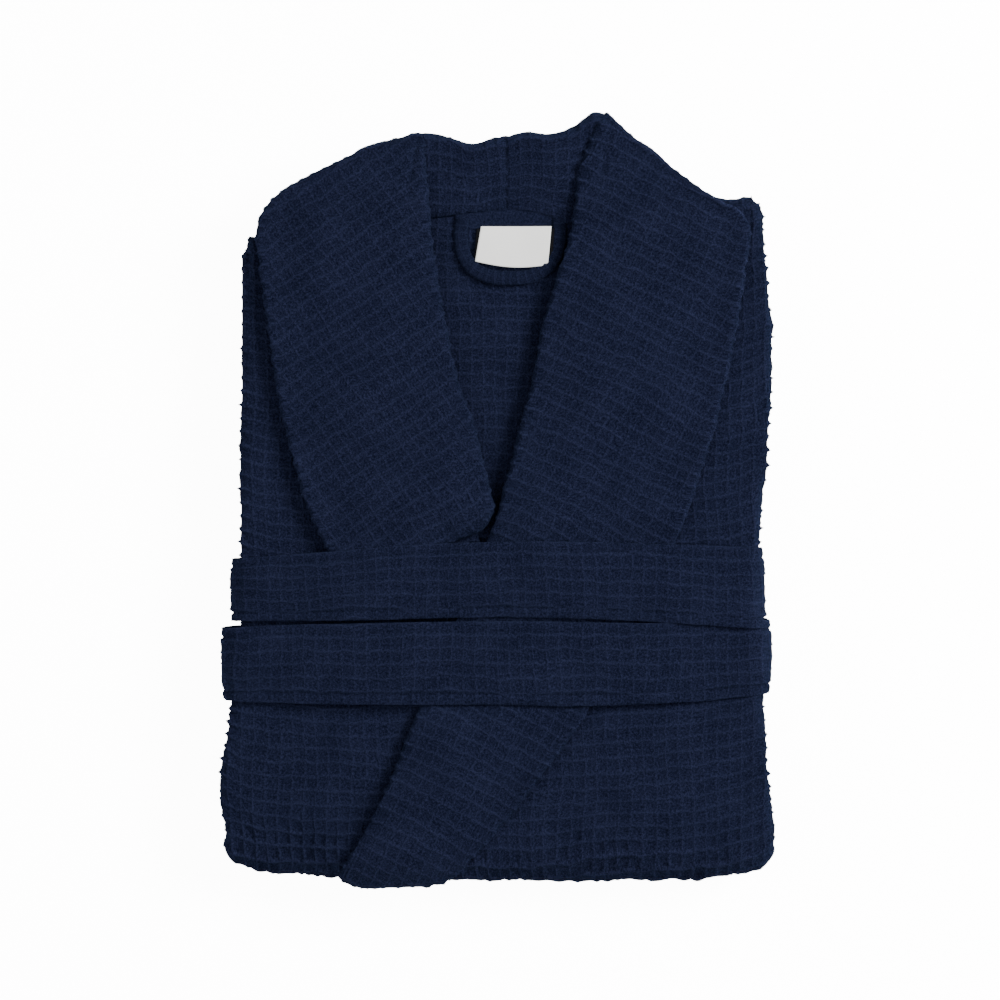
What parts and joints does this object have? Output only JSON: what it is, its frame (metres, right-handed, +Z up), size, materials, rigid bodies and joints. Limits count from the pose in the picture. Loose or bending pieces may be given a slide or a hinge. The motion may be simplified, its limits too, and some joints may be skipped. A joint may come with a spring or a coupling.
{
  "type": "folded bathrobe",
  "caption": "Waffle-weave shawl-collar bathrobe folded flat for a shelf, face up, with its belt wound round the middle and a hanging loop and label at the neck.",
  "frame": {"origin": "middle of the folded robe's footprint, on the surface it lies on", "axes": "+Y towards the collar along the folded robe, +X towards the wearer's left, +Z up from the surface it lies on"},
  "size_m": [0.352, 0.496, 0.054],
  "materials": {
    "waffle_cloth": "matt navy cotton waffle weave",
    "dark_label": "black woven tape",
    "light_label": "white woven satin tape"
  },
  "bodies": {
    "robe": {"back_panel": "waffle_cloth", "right_front_panel": "waffle_cloth", "left_front_panel": "waffle_cloth", "right_sleeve": "waffle_cloth", "left_sleeve": "waffle_cloth", "right_cuff": "waffle_cloth", "left_cuff": "waffle_cloth", "right_pocket": "waffle_cloth", "left_pocket": "waffle_cloth", "right_belt_loop": "waffle_cloth", "left_belt_loop": "waffle_cloth", "right_collar_stand": "waffle_cloth", "left_collar_stand": "waffle_cloth", "neck_tape": "waffle_cloth", "right_front_band": "waffle_cloth", "left_front_band": "waffle_cloth"},
    "right_lapel": {"right_undercollar": "waffle_cloth", "right_lapel_facing": "waffle_cloth"},
    "left_lapel": {"left_undercollar": "waffle_cloth", "left_lapel_facing": "waffle_cloth"},
    "loop": {"hang_loop": "waffle_cloth"},
    "label": {"size_label": "dark_label", "neck_label": "light_label"},
    "belt": {"belt": "waffle_cloth"}
  },
  "joints": [
    {"name": "belt_slide", "type": "slide", "parent": "robe", "child": "belt", "axis": [0, -1, 0], "range_m": [0, 0.232]},
    {"name": "right_lapel_lift", "type": "hinge", "parent": "robe", "child": "right_lapel", "pos_m": [0.001, -0.016, 0.0538], "axis": [-0.2165, 0.9763, 0], "range_deg": [0, 70]},
    {"name": "left_lapel_lift", "type": "hinge", "parent": "robe", "child": "left_lapel", "pos_m": [0.012, 0.03, 0.0538], "axis": [-0.2245, -0.9745, 0], "range_deg": [0, 70]},
    {"name": "hang_loop_swing", "type": "hinge", "parent": "robe", "child": "loop", "pos_m": [0.007, 0.174, 0.0474], "axis": [-1, 0, 0], "range_deg": [0, 80]},
    {"name": "neck_label_flip", "type": "hinge", "parent": "loop", "child": "label", "pos_m": [0.0125, 0.174, 0.0488], "axis": [-1, 0, 0], "range_deg": [0, 80]}
  ]
}
